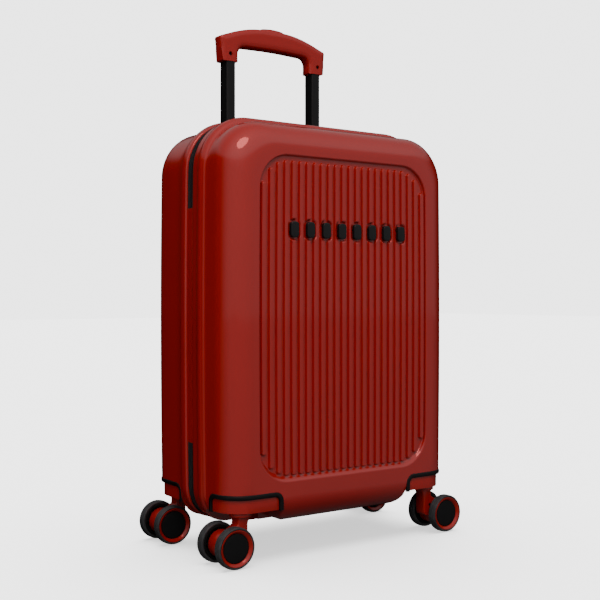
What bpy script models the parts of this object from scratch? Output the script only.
"""Hard-shell cabin suitcase on four twin-wheel casters with a telescopic handle.

Units are metres, +Z up. The zipped opening plane is y = 0, the front faces -Y,
the ground is z = 0. Every sub-part is one named object.
"""
import math

import bmesh
import bpy
from mathutils import Matrix
from mathutils import Vector

# drawing unit: the case stands 56.6 units tall on its wheels, 55 cm
U = 0.0097
GAP = 0.03 * U

# case body
HALF_W = 18.8 * U
BELLY_Z = 4.2 * U
TOP_Z = 56.5 * U
TOP_R = 7.0 * U
BOTTOM_R = 4.5 * U
FRONT_Y = -10.15 * U
REAR_Y = 10.05 * U
EDGE_R = 3.6 * U
WALL = 0.25 * U
SIDE_INSET = 0.36 * U
TOP_INSET = 0.95 * U
BOTTOM_INSET = 0.20 * U
ZIP_Y = -0.72 * U
ZIP_HALF = 0.79 * U
BEAD_Y = -3.6 * U
BEAD_END_Y = -5.0 * U
REAR_RIM_Y = 1.35 * U
HINGE_AXIS_X = -19.05 * U

# zipper and hinge strip
TAPE_INSET = 0.40 * U
TAPE_T = 0.13 * U
HINGE_Z0 = 14.2 * U
HINGE_Z1 = 45.2 * U

# wheel wells
WELL_X = 10.4 * U
WELL_FRONT_Y = 5.05 * U
WELL_REAR_Y = 1.95 * U
WELL_TOP = 8.75 * U
RELIEF_X = 11.0 * U
RELIEF_Y = 2.75 * U
RELIEF_TOP = 5.35 * U
RELIEF_RIM_X = 18.1 * U
WELL_R = 1.2 * U
BELLY_R = 2.0 * U
TRIM_T = 0.57 * U
TRIM_BOTTOM = 6.35 * U
GUARD_BOTTOM = 6.45 * U

# casters
SWIVEL_X = 15.3 * U
SWIVEL_Y = 7.9 * U
TRAIL = 2.17 * U
WHEEL_R = 2.59 * U
WHEEL_Y = 2.12 * U
TYRE_W = 1.30 * U
AXLE_R = 0.28 * U
STEM_R = 0.40 * U

# telescopic handle
TUBE_X = 7.43 * U
TUBE_Y = 8.0 * U
TOP_TUBE = (1.45 * U, 1.95 * U)
MID_TUBE = (1.80 * U, 2.30 * U)
OUT_TUBE = (2.15 * U, 2.65 * U)
TUBE_WALL = 0.145 * U
GRIP_LEG_Z = 66.5 * U
WELL_FLOOR = 49.9 * U
WELL_HX = 9.55 * U
WELL_HY = 1.45 * U

# carry handles and lock
CARRY_Y = 4.45 * U
SIDE_Z = 31.0 * U
LOCK_Z = 31.0 * U

RED = (0.235, 0.016, 0.010)
RED_DARK = (0.16, 0.010, 0.007)
BLACK = (0.012, 0.012, 0.013)
RUBBER = (0.020, 0.020, 0.021)
TYRE = (0.035, 0.036, 0.038)
METAL = (0.018, 0.018, 0.020)


def clear_scene():
    for ob in list(bpy.data.objects):
        bpy.data.objects.remove(ob, do_unlink=True)


def material(name, rgb, rough, metallic):
    mat = bpy.data.materials.new(name)
    mat.use_nodes = True
    bsdf = mat.node_tree.nodes["Principled BSDF"]
    bsdf.inputs["Base Color"].default_value = (rgb[0], rgb[1], rgb[2], 1.0)
    bsdf.inputs["Roughness"].default_value = rough
    bsdf.inputs["Metallic"].default_value = metallic
    mat.diffuse_color = (rgb[0], rgb[1], rgb[2], 1.0)
    return mat


def add_object(name, mesh, origin, look):
    mesh.transform(Matrix.Translation(-Vector(origin)))
    ob = bpy.data.objects.new(name, mesh)
    ob.location = origin
    bpy.context.scene.collection.objects.link(ob)
    rgb, rough, metallic = look
    ob.data.materials.clear()
    ob.data.materials.append(material(name + "_mat", rgb, rough, metallic))
    return ob


def mesh_from(verts, faces):
    mesh = bpy.data.meshes.new("body")
    mesh.from_pydata([tuple(v) for v in verts], [], faces)
    bm = bmesh.new()
    bm.from_mesh(mesh)
    bmesh.ops.recalc_face_normals(bm, faces=bm.faces[:])
    bm.to_mesh(mesh)
    bm.free()
    return mesh


def combine(first, second, operation):
    """Exact boolean of two meshes, returned as a new mesh."""
    scene = bpy.context.scene
    a = bpy.data.objects.new("bool_a", first)
    b = bpy.data.objects.new("bool_b", second)
    scene.collection.objects.link(a)
    scene.collection.objects.link(b)
    mod = a.modifiers.new("cut", "BOOLEAN")
    mod.object = b
    mod.operation = operation
    mod.solver = "EXACT"
    graph = bpy.context.evaluated_depsgraph_get()
    graph.update()
    mesh = bpy.data.meshes.new_from_object(a.evaluated_get(graph))
    bpy.data.objects.remove(a, do_unlink=True)
    bpy.data.objects.remove(b, do_unlink=True)
    return mesh


def cut(first, second):
    return combine(first, second, "DIFFERENCE")


def join(first, second):
    return combine(first, second, "UNION")


def keep(first, second):
    return combine(first, second, "INTERSECT")


def loft(rings):
    """Closed body through rings of equal point count, capped at both ends."""
    count = len(rings[0])
    verts = [p for ring in rings for p in ring]
    faces = []
    for i in range(len(rings) - 1):
        for j in range(count):
            k = (j + 1) % count
            faces.append((i * count + j, i * count + k, (i + 1) * count + k, (i + 1) * count + j))
    faces.append(tuple(range(count)))
    last = (len(rings) - 1) * count
    faces.append(tuple(range(last, last + count)))
    return mesh_from(verts, faces)


def prism(outline, axis, low, high):
    """Closed body from a flat outline extruded along an axis."""
    rings = []
    for level in (low, high):
        if axis == "Y":
            rings.append([(u, level, v) for u, v in outline])
        elif axis == "X":
            rings.append([(level, u, v) for u, v in outline])
        else:
            rings.append([(u, v, level) for u, v in outline])
    return loft(rings)


def block(x0, x1, y0, y1, z0, z1):
    return prism([(x0, y0), (x1, y0), (x1, y1), (x0, y1)], "Z", z0, z1)


def soft_block(x0, x1, y0, y1, z0, z1, radius, segments=1):
    """Block with every edge rounded over."""
    mesh = block(x0, x1, y0, y1, z0, z1)
    bm = bmesh.new()
    bm.from_mesh(mesh)
    bmesh.ops.bevel(bm, geom=bm.edges[:], offset=radius, segments=segments, profile=0.5,
                    affect="EDGES", clamp_overlap=True)
    bmesh.ops.recalc_face_normals(bm, faces=bm.faces[:])
    bm.to_mesh(mesh)
    bm.free()
    return mesh


def circle(cu, cv, radius, count, phase=0.5):
    step = 2.0 * math.pi / count
    return [(cu + radius * math.cos((i + phase) * step), cv + radius * math.sin((i + phase) * step))
            for i in range(count)]


def rounded_rect(u0, u1, v0, v1, radius, segments):
    """Outline of a rounded rectangle, counter-clockwise from the lower left corner."""
    corners = ((u0 + radius, v0 + radius, 180.0), (u1 - radius, v0 + radius, 270.0),
               (u1 - radius, v1 - radius, 0.0), (u0 + radius, v1 - radius, 90.0))
    points = []
    for cu, cv, start in corners:
        for i in range(segments + 1):
            a = math.radians(start + 90.0 * i / segments)
            points.append((cu + radius * math.cos(a), cv + radius * math.sin(a)))
    return points


def turned(profile, count):
    """Closed ring-shaped body: a closed (radius, y) profile turned about the Y axis."""
    n = len(profile)
    verts = []
    for i in range(count):
        a = 2.0 * math.pi * i / count
        verts += [(r * math.cos(a), y, r * math.sin(a)) for r, y in profile]
    faces = []
    for i in range(count):
        nxt = (i + 1) % count
        for j in range(n):
            k = (j + 1) % n
            faces.append((i * n + j, i * n + k, nxt * n + k, nxt * n + j))
    return mesh_from(verts, faces)


def moved(mesh, dx, dy, dz):
    mesh.transform(Matrix.Translation((dx, dy, dz)))
    return mesh


def mirrored(mesh, sx, sy):
    """Copy of a mesh mirrored across x = 0 and/or y = 0, still facing outward."""
    copy = mesh.copy()
    copy.transform(Matrix.Diagonal((sx, sy, 1.0, 1.0)))
    if sx * sy < 0.0:
        copy.flip_normals()
    return copy


# ---- case shells ---------------------------------------------------------

def case_ring(y, side, top, bottom, top_r, bottom_r, floor=None, segments=6):
    """Ring of the case outline at y, drawn in by an inset on the sides, top and bottom."""
    x1 = HALF_W - side
    z0 = BELLY_Z + bottom if floor is None else floor
    z1 = TOP_Z - top
    corners = ((-x1 + bottom_r, z0 + bottom_r, bottom_r, 180.0),
               (x1 - bottom_r, z0 + bottom_r, bottom_r, 270.0),
               (x1 - top_r, z1 - top_r, top_r, 0.0), (-x1 + top_r, z1 - top_r, top_r, 90.0))
    ring = []
    for cx, cz, radius, start in corners:
        for i in range(segments + 1):
            a = math.radians(start + 90.0 * i / segments)
            ring.append((cx + radius * math.cos(a), y, cz + radius * math.sin(a)))
    return ring


def rim_rows(front, grow):
    """(y, inset) rows from the zipper edge over the rim band, and the bead on the front."""
    if front:
        rows = ((ZIP_Y - ZIP_HALF, 0.30), (ZIP_Y - ZIP_HALF - 0.2 * U, 0.06),
                (BEAD_Y + 0.9 * U, 0.0), (BEAD_Y, -0.09), (BEAD_Y - 0.7 * U, -0.02))
    else:
        rows = ((ZIP_Y + ZIP_HALF, 0.30), (ZIP_Y + ZIP_HALF + 0.2 * U, 0.06), (REAR_RIM_Y, 0.0))
    return [(y, inset * U - grow) for y, inset in rows]


def body_rings(front, grow, floor=None, steps=5):
    """Rings of the tapered body and of its rounded outer edge up to the flat face."""
    side = -1.0 if front else 1.0
    start = BEAD_END_Y if front else REAR_RIM_Y + 0.35 * U
    flat = (FRONT_Y if front else REAR_Y) + side * grow
    turn = flat - side * EDGE_R
    rings = [case_ring(start, SIDE_INSET - 0.05 * U - grow, TOP_INSET - 0.15 * U - grow,
                       BOTTOM_INSET - grow, 6.4 * U, 3.3 * U, floor)]
    for i in range(steps + 1):
        a = math.radians(90.0 * i / steps)
        d = EDGE_R * (1.0 - math.cos(a))
        y = turn + side * EDGE_R * math.sin(a)
        rings.append(case_ring(y, SIDE_INSET + d - grow, TOP_INSET + d - grow,
                               BOTTOM_INSET + d - grow, 5.9 * U - 0.45 * d, 3.1 * U, floor))
    return rings


def outer_solid(front, grow=0.0):
    rings = [case_ring(y, inset, inset, inset, TOP_R - inset, BOTTOM_R - inset)
             for y, inset in rim_rows(front, grow)]
    return loft(rings + body_rings(front, grow))


def inner_solid(front):
    side = -1.0 if front else 1.0
    rings = body_rings(front, -WALL, None, 4)
    mouth = rings[0]
    shift = ZIP_Y - side * 1.0 * U - mouth[0][1]
    return loft([[(x, y + shift, z) for x, y, z in mouth]] + rings)


def well_outline(wall):
    """Outline in X and Z of a lower corner's wheel well, with the belly's round edge."""
    radius = BELLY_R - wall
    cx = WELL_X - BELLY_R
    cz = BELLY_Z + BOTTOM_INSET + BELLY_R
    points = [(cx, -1.0 * U)]
    for i in range(5):
        a = math.radians(90.0 * i / 4)
        points.append((cx + radius * math.sin(a), cz - radius * math.cos(a)))
    points += corner_arc(WELL_X - wall, WELL_TOP + wall, WELL_R)
    points += [(30.0 * U, WELL_TOP + wall), (30.0 * U, -1.0 * U)]
    return points


def corner_arc(u, v, radius):
    """Rounded inner top corner of a notch whose edges are u = const and v = const."""
    points = []
    for i in range(4):
        a = math.radians(90.0 * i / 3)
        points.append((u + radius - radius * math.cos(a), v - radius + radius * math.sin(a)))
    return points


def notch_outline(edge, top, bottom, radius):
    points = [(edge, bottom)] + corner_arc(edge, top, radius)
    return points + [(30.0 * U, top), (30.0 * U, bottom)]


def well_edge(front):
    return WELL_FRONT_Y if front else WELL_REAR_Y


def well_cutter(front, wall):
    """Wheel well volume of a +X corner with +Y outward, grown by a wall thickness."""
    edge = well_edge(front) - wall
    front_view = prism(well_outline(wall), "Y", edge, 30.0 * U)
    side = notch_outline(edge, WELL_TOP + wall, -2.0 * U, WELL_R)
    side_view = prism(side, "X", 0.0, 31.0 * U)
    return keep(front_view, side_view)


def wheel_relief(wall):
    """Relief in the shell that lets a +X front caster swivel, with +Y outward."""
    x = RELIEF_X - wall
    y = RELIEF_Y - wall
    rim = RELIEF_RIM_X + wall
    near = [(x, 7.0 * U), (x, y + 1.85 * U), (x + 1.6 * U, y)]
    under_rim = near + [(30.0 * U, y), (30.0 * U, 7.0 * U)]
    behind_rim = near + [(rim, y), (rim, 7.0 * U)]
    low = prism(under_rim, "Z", -2.0 * U, RELIEF_TOP + wall)
    return join(low, prism(behind_rim, "Z", -2.0 * U, WELL_TOP + wall))


def corner_hood(front, offset, bottom):
    """Notch volume of a +X corner with +Y outward, drawn in by an offset."""
    top = WELL_TOP - offset
    edge = well_edge(front) + offset
    radius = max(WELL_R - offset, 0.35 * U)
    front_view = prism(notch_outline(WELL_X + offset, top, bottom, radius), "Y", 1.0 * U, 30.0 * U)
    side_view = prism(notch_outline(edge, top, bottom, radius), "X", 5.0 * U, 31.0 * U)
    return keep(front_view, side_view)


def dish_top(wall):
    """Finger dish under the top carry handle."""
    return soft_block(-4.4 * U - wall, 4.4 * U + wall, 2.85 * U - wall, 6.05 * U + wall,
                      54.4 * U - wall, 58.0 * U, 0.5 * U, 2)


def dish_side(wall):
    """Finger dish under the side carry handle."""
    return soft_block(17.15 * U - wall, 22.0 * U, 2.85 * U - wall, 6.05 * U + wall,
                      SIDE_Z - 4.4 * U - wall, SIDE_Z + 4.4 * U + wall, 0.5 * U, 2)


def make_shell(front):
    outer = outer_solid(front)
    inner = inner_solid(front)
    side = -1.0 if front else 1.0
    for sx in (-1.0, 1.0):
        outer = cut(outer, mirrored(well_cutter(front, 0.0), sx, side))
        inner = cut(inner, mirrored(well_cutter(front, WALL), sx, side))
        if front:
            outer = cut(outer, mirrored(wheel_relief(0.0), sx, side))
            inner = cut(inner, mirrored(wheel_relief(WALL), sx, side))
    if not front:
        for dish in (dish_top, dish_side):
            outer = cut(outer, dish(0.0))
            inner = cut(inner, dish(WALL))
    return cut(outer, inner)


def build_front_shell():
    mesh = make_shell(True)
    return add_object("front_shell", mesh, (HINGE_AXIS_X, ZIP_Y, 30.0 * U), (RED, 0.22, 0.0))


def build_rear_shell():
    mesh = make_shell(False)
    y0 = TUBE_Y - WELL_HY
    y1 = TUBE_Y + WELL_HY
    mesh = cut(mesh, block(-WELL_HX - GAP, WELL_HX + GAP, y0 - GAP, y1 + GAP, 48.0 * U, 59.0 * U))
    for s in (-1.0, 1.0):
        mesh = cut(mesh, block(s * 5.95 * U - 0.38 * U, s * 5.95 * U + 0.38 * U,
                               CARRY_Y - 0.78 * U, CARRY_Y + 0.78 * U, 54.5 * U, 57.5 * U))
        mesh = cut(mesh, block(17.5 * U, 19.5 * U, CARRY_Y - 0.78 * U, CARRY_Y + 0.78 * U,
                               SIDE_Z + s * 5.95 * U - 0.38 * U, SIDE_Z + s * 5.95 * U + 0.38 * U))
    mesh = cut(mesh, block(17.3 * U, 19.6 * U, -0.5 * U, 1.95 * U, LOCK_Z - 3.05 * U, LOCK_Z + 3.05 * U))
    return add_object("rear_shell", mesh, (0.0, 0.0, 30.0 * U), (RED, 0.22, 0.0))


# ---- zipper, hinge strip, lock -------------------------------------------

def tape_path():
    """Open path of the zipper tape round the case, as point and inward direction."""
    inset = TAPE_INSET
    u1 = HALF_W - inset
    v0 = BELLY_Z + inset
    v1 = TOP_Z - inset
    low = BOTTOM_R - inset
    high = TOP_R - inset
    path = [((-u1, HINGE_Z0 - 0.1 * U), (1.0, 0.0))]
    corners = ((-u1 + low, v0 + low, low, 180.0), (u1 - low, v0 + low, low, 270.0),
               (u1 - high, v1 - high, high, 0.0), (-u1 + high, v1 - high, high, 90.0))
    for cu, cv, radius, start in corners:
        for i in range(7):
            a = math.radians(start + 90.0 * i / 6)
            normal = (math.cos(a), math.sin(a))
            path.append(((cu + radius * normal[0], cv + radius * normal[1]), (-normal[0], -normal[1])))
    path.append(((-u1, HINGE_Z1 + 0.1 * U), (1.0, 0.0)))
    return path


def build_tape(name, y0, y1, origin):
    rings = []
    for point, inward in tape_path():
        outer = Vector((point[0], point[1]))
        inner = outer + Vector(inward) * TAPE_T
        rings.append([(outer.x, y0, outer.y), (outer.x, y1, outer.y),
                      (inner.x, y1, inner.y), (inner.x, y0, inner.y)])
    return add_object(name, loft(rings), origin, (BLACK, 0.75, 0.0))


def build_hinge_strip():
    """Moulded hinge leaf with its bead lying beside the hinge axis."""
    x0 = -HALF_W + 0.12 * U
    section = [(x0, -0.66), (x0 + 0.30 * U, -0.66), (x0 + 0.30 * U, 0.76), (x0 + 0.12 * U, 0.76),
               (x0 + 0.05 * U, 0.45), (x0 - 0.06 * U, 0.20), (x0 - 0.06 * U, -0.20),
               (x0 + 0.05 * U, -0.45)]
    mesh = prism([(x, ZIP_Y + y * U) for x, y in section], "Z", HINGE_Z0, HINGE_Z1)
    return add_object("hinge_strip", mesh, (HINGE_AXIS_X, ZIP_Y, 29.5 * U), (RED, 0.30, 0.0))


def build_zip_pull(name, direction):
    """Slider astride the zipper on the right-hand side, with its flat pull tab."""
    z = LOCK_Z + direction * 4.6 * U
    x = HALF_W - TAPE_INSET
    body = soft_block(x + 0.05 * U, x + 0.42 * U, ZIP_Y - 0.46 * U, ZIP_Y + 0.46 * U,
                      z - 0.75 * U, z + 0.75 * U, 0.10 * U)
    z_in = z - direction * 0.55 * U
    z_out = z - direction * 3.2 * U
    tab = soft_block(x + 0.36 * U, x + 0.56 * U, ZIP_Y - 0.28 * U, ZIP_Y + 0.20 * U,
                     min(z_in, z_out), max(z_in, z_out), 0.06 * U)
    return add_object(name, join(body, tab), (x, ZIP_Y, z), (METAL, 0.35, 0.8))


def build_lock():
    body = soft_block(17.45 * U, 19.0 * U, 0.12 * U, 1.90 * U, LOCK_Z - 3.0 * U, LOCK_Z + 3.0 * U,
                      0.12 * U)
    pocket = block(18.5 * U, 19.3 * U, 0.45 * U, 1.55 * U, LOCK_Z + 1.35 * U, LOCK_Z + 2.65 * U)
    body = cut(body, pocket)
    add_object("lock_body", body, (18.3 * U, 1.0 * U, LOCK_Z), (BLACK, 0.35, 0.0))
    button = soft_block(18.70 * U, 19.15 * U, 0.48 * U, 1.52 * U,
                        LOCK_Z + 1.38 * U, LOCK_Z + 2.62 * U, 0.06 * U)
    add_object("lock_release", button, (18.9 * U, 1.0 * U, LOCK_Z + 2.0 * U), (RED, 0.30, 0.0))


# ---- carry handles -------------------------------------------------------

def carry_handle_mesh():
    """Low bar with two slotted legs, drawn along X with its top facing +Z at z = 0."""
    bar = soft_block(-6.75 * U, 6.75 * U, -1.05 * U, 1.05 * U, 0.0, 0.52 * U, 0.16 * U, 2)
    for s in (-1.0, 1.0):
        leg = block(s * 5.95 * U - 0.33 * U, s * 5.95 * U + 0.33 * U,
                    -0.70 * U, 0.70 * U, -2.2 * U, 0.2 * U)
        bar = join(bar, leg)
        foot = block(s * 5.95 * U - 0.55 * U, s * 5.95 * U + 0.55 * U,
                     -0.95 * U, 0.95 * U, -2.4 * U, -2.15 * U)
        bar = join(bar, foot)
    return bar


def build_carry_handles():
    top = moved(carry_handle_mesh(), 0.0, CARRY_Y, TOP_Z - TOP_INSET + 0.12 * U)
    add_object("top_handle", top, (0.0, CARRY_Y, TOP_Z), (RED, 0.35, 0.0))
    side = carry_handle_mesh()
    side.transform(Matrix.Rotation(math.radians(90.0), 4, "Y"))
    moved(side, HALF_W - SIDE_INSET + 0.06 * U, CARRY_Y, SIDE_Z)
    add_object("side_handle", side, (HALF_W, CARRY_Y, SIDE_Z), (RED, 0.35, 0.0))


# ---- telescopic handle ---------------------------------------------------

def tube_section(size, radius, segments=1):
    return rounded_rect(-size[0] / 2, size[0] / 2, -size[1] / 2, size[1] / 2, radius, segments)


def solid_tube(size, radius, side, z0, z1, segments=1):
    mesh = prism(tube_section(size, radius, segments), "Z", z0, z1)
    return moved(mesh, side * TUBE_X, TUBE_Y, 0.0)


def hollow_tube(size, radius, side, z0, z1):
    bore = (size[0] - 2 * TUBE_WALL, size[1] - 2 * TUBE_WALL)
    outer = solid_tube(size, radius, side, z0, z1)
    return cut(outer, solid_tube(bore, radius * 0.5, side, z0 - 1.0 * U, z1 + 1.0 * U))


def build_trolley_frame():
    mesh = soft_block(-8.55 * U, 8.55 * U, TUBE_Y - 1.45 * U, TUBE_Y + 1.45 * U,
                      7.2 * U, 8.3 * U, 0.15 * U)
    for s in (-1.0, 1.0):
        mesh = join(mesh, solid_tube(OUT_TUBE, 0.3 * U, s, 8.0 * U, WELL_FLOOR - 0.05 * U))
    bar = block(-7.0 * U, 7.0 * U, TUBE_Y - 0.6 * U, TUBE_Y + 0.6 * U, 47.4 * U, 48.8 * U)
    mesh = join(mesh, bar)
    bore = (OUT_TUBE[0] - 2 * TUBE_WALL, OUT_TUBE[1] - 2 * TUBE_WALL)
    for s in (-1.0, 1.0):
        mesh = cut(mesh, solid_tube(bore, 0.15 * U, s, 8.6 * U, 60.0 * U))
    add_object("trolley_frame", mesh, (0.0, TUBE_Y, 30.0 * U), (METAL, 0.35, 0.9))


def build_handle_well():
    """Docking tray for the retracted grip, following the shell's top surface."""
    y0 = TUBE_Y - WELL_HY
    y1 = TUBE_Y + WELL_HY
    tray = block(-WELL_HX, WELL_HX, y0, y1, WELL_FLOOR, 58.0 * U)
    room = block(-WELL_HX + 0.15 * U, WELL_HX - 0.15 * U, y0 + 0.15 * U, y1 - 0.15 * U,
                 WELL_FLOOR + 0.15 * U, 59.0 * U)
    tray = cut(keep(tray, outer_solid(False, 0.12 * U)), room)
    hole = (MID_TUBE[0] + 2 * GAP, MID_TUBE[1] + 2 * GAP)
    for s in (-1.0, 1.0):
        tray = cut(tray, solid_tube(hole, 0.2 * U, s, 48.0 * U, 52.0 * U))
    add_object("handle_well", tray, (0.0, TUBE_Y, WELL_FLOOR), (BLACK, 0.45, 0.0))


def build_stage_tubes():
    for side, label in ((-1.0, "left"), (1.0, "right")):
        mid = hollow_tube(MID_TUBE, 0.3 * U, side, 9.2 * U, 50.2 * U)
        add_object("mid_tube_" + label, mid, (side * TUBE_X, TUBE_Y, 50.2 * U), (METAL, 0.30, 0.9))
        top = solid_tube(TOP_TUBE, 0.36 * U, side, 26.0 * U, 67.4 * U, 3)
        add_object("top_tube_" + label, top, (side * TUBE_X, TUBE_Y, GRIP_LEG_Z), (METAL, 0.30, 0.9))


def grip_outline():
    """Arched grip outline in X and Z: right half from the crown down, then mirrored."""
    half = [(0.0, 71.85), (2.2, 71.80), (4.2, 71.55), (6.2, 71.05), (7.9, 70.35), (8.75, 69.85),
            (9.1, 69.35), (9.1, 68.8), (8.85, 67.9), (8.62, 66.5), (6.25, 66.5), (6.22, 67.6),
            (5.85, 68.35), (5.1, 68.72), (3.2, 68.85), (0.0, 68.95)]
    right = [(x * U, z * U) for x, z in half]
    left = [(-x, z) for x, z in right[1:-1]]
    left.reverse()
    return right + left


def rounded_extrusion(points, center_y, half_depth, inset):
    """Extrusion along Y with both rims drawn in by an inset."""
    n = len(points)
    flat = [Vector(p) for p in points]
    inner = []
    for i in range(n):
        back = (flat[i] - flat[i - 1]).normalized()
        ahead = (flat[(i + 1) % n] - flat[i]).normalized()
        normal = Vector((back.y + ahead.y, -back.x - ahead.x)).normalized()
        scale = 1.0 / max(normal.dot(Vector((back.y, -back.x))), 0.5)
        inner.append(flat[i] + normal * (inset * scale))
    rings = []
    for pts, depth in ((inner, -half_depth), (flat, -half_depth + inset),
                       (flat, half_depth - inset), (inner, half_depth)):
        rings.append([(p.x, center_y + depth, p.y) for p in pts])
    return loft(rings)


def build_grip():
    mesh = rounded_extrusion(grip_outline(), TUBE_Y, 1.12 * U, 0.28 * U)
    socket = (TOP_TUBE[0] + 2 * GAP, TOP_TUBE[1] + 2 * GAP)
    for s in (-1.0, 1.0):
        mesh = cut(mesh, solid_tube(socket, 0.38 * U, s, 60.0 * U, 67.45 * U, 3))
    pocket = block(-1.88 * U, 1.88 * U, TUBE_Y - 0.58 * U, TUBE_Y + 0.58 * U, 70.9 * U, 73.0 * U)
    mesh = cut(mesh, pocket)
    add_object("grip", mesh, (0.0, TUBE_Y, 70.0 * U), (RED, 0.28, 0.0))
    button = soft_block(-1.84 * U, 1.84 * U, TUBE_Y - 0.54 * U, TUBE_Y + 0.54 * U,
                        71.35 * U, 72.2 * U, 0.18 * U, 2)
    add_object("grip_button", button, (0.0, TUBE_Y, 71.8 * U), (RED, 0.30, 0.0))


# ---- corner guards and casters -------------------------------------------

def corner_skin(front, grow):
    """Body solid with +Y outward, reaching down past the corner pieces."""
    mesh = loft(body_rings(front, grow, -8.0 * U))
    return mirrored(mesh, 1.0, -1.0) if front else mesh


def trim_mesh(front):
    hood = keep(corner_hood(front, GAP, TRIM_BOTTOM), corner_skin(front, 0.02 * U))
    return cut(hood, corner_hood(front, GAP + TRIM_T, -1.0 * U))


def guard_mesh(front):
    body = keep(corner_hood(front, 2 * GAP + TRIM_T, GUARD_BOTTOM), corner_skin(front, -0.20 * U))
    bore = prism(circle(SWIVEL_X, SWIVEL_Y, STEM_R + 0.06 * U, 12), "Z", 5.0 * U, 7.75 * U)
    return cut(body, bore)


def build_corners():
    for front in (True, False):
        trim = trim_mesh(front)
        guard = guard_mesh(front)
        for sx, sy, label in corners():
            if (sy < 0.0) == front:
                place = (sx * SWIVEL_X, sy * SWIVEL_Y, 7.0 * U)
                add_object("trim_" + label, mirrored(trim, sx, sy), place, (RUBBER, 0.6, 0.0))
                add_object("guard_" + label, mirrored(guard, sx, sy), place, (RED, 0.28, 0.0))


def corners():
    return ((-1.0, -1.0, "front_left"), (1.0, -1.0, "front_right"),
            (-1.0, 1.0, "rear_left"), (1.0, 1.0, "rear_right"))


def fork_mesh():
    """Caster fork about its swivel axis at the origin, wheels trailing to +X."""
    side = [(-1.15, 6.0), (-0.80, 5.55), (-0.62, 4.7), (-0.35, 3.4), (0.55, 2.1), (1.4, 1.6),
            (2.6, 1.45), (3.2, 2.2), (3.25, 3.1), (2.6, 3.9), (1.7, 4.35), (0.85, 4.95),
            (0.80, 5.6), (1.15, 6.0)]
    body = prism([(x * U, z * U) for x, z in side], "Y", -0.85 * U, 0.85 * U)
    drum = prism(circle(TRAIL, WHEEL_R, 1.72 * U, 20), "Y", -1.38 * U, 1.38 * U)
    flange = prism(circle(0.0, 0.0, 1.45 * U, 20), "Z", 5.9 * U, 6.38 * U)
    stem = prism(circle(0.0, 0.0, STEM_R, 12), "Z", 6.2 * U, 7.6 * U)
    mesh = join(join(join(body, drum), flange), stem)
    bore = prism(circle(TRAIL, WHEEL_R, AXLE_R + 0.05 * U, 12), "Y", -2.0 * U, 2.0 * U)
    return cut(mesh, bore)


def axle_mesh():
    return moved(prism(circle(0.0, 0.0, AXLE_R, 12), "Y", -2.2 * U, 2.2 * U), 0.0, 0.0, 0.0)


def hub_mesh():
    """Wheel hub with its outer face toward +Y."""
    profile = [(0.33, -0.60), (0.80, -0.60), (0.88, -0.10), (1.80, -0.10), (1.92, -0.58),
               (2.13, -0.58), (2.13, 0.42), (2.26, 0.52), (2.24, 0.66), (1.87, 0.36),
               (1.85, 0.14), (0.33, 0.14)]
    return turned([(r * U, y * U) for r, y in profile], 18)


def tyre_mesh():
    profile = [(2.18, -0.55), (2.42, -0.65), (2.54, -0.55), (2.59, -0.30), (2.59, 0.30),
               (2.54, 0.55), (2.42, 0.65), (2.31, 0.60), (2.18, 0.38)]
    return turned([(r * U, y * U) for r, y in profile], 18)


def cap_mesh():
    rings = []
    for r, y in ((1.81, 0.17), (1.81, 0.36), (1.70, 0.41)):
        rings.append([(r * U * math.cos(a), y * U, r * U * math.sin(a))
                      for a in [2.0 * math.pi * i / 18 for i in range(18)]])
    return loft(rings)


def build_casters():
    fork = fork_mesh()
    for sx, sy, label in corners():
        x = sx * SWIVEL_X
        y = sy * SWIVEL_Y
        body = moved(mirrored(fork, sx, 1.0), x, y, 0.0)
        add_object("fork_" + label, body, (x, y, 5.0 * U), (RED, 0.30, 0.0))
        wheel_x = x + sx * TRAIL
        axle = moved(axle_mesh(), wheel_x, y, WHEEL_R)
        add_object("axle_" + label, axle, (wheel_x, y, WHEEL_R), (METAL, 0.4, 0.9))
        for side, tag in ((-1.0, "a"), (1.0, "b")):
            build_wheel(label + "_" + tag, (wheel_x, y + side * WHEEL_Y, WHEEL_R), side)


def build_wheel(label, center, side):
    parts = (("hub_", hub_mesh(), (RED, 0.30, 0.0)), ("tyre_", tyre_mesh(), (TYRE, 0.65, 0.0)),
             ("cap_", cap_mesh(), (BLACK, 0.55, 0.0)))
    for prefix, mesh, look in parts:
        placed = moved(mirrored(mesh, 1.0, side), center[0], center[1], center[2])
        add_object(prefix + label, placed, center, look)


def main():
    clear_scene()
    build_rear_shell()
    build_front_shell()
    build_hinge_strip()
    build_tape("rear_zip_tape", ZIP_Y + 0.02 * U, ZIP_Y + ZIP_HALF - GAP, (0.0, ZIP_Y, 30.0 * U))
    build_tape("front_zip_tape", ZIP_Y - ZIP_HALF + GAP, ZIP_Y - 0.02 * U,
               (HINGE_AXIS_X, ZIP_Y, 30.0 * U))
    build_zip_pull("upper_zip_pull", 1.0)
    build_zip_pull("lower_zip_pull", -1.0)
    build_lock()
    build_carry_handles()
    build_trolley_frame()
    build_handle_well()
    build_stage_tubes()
    build_grip()
    build_corners()
    build_casters()


main()
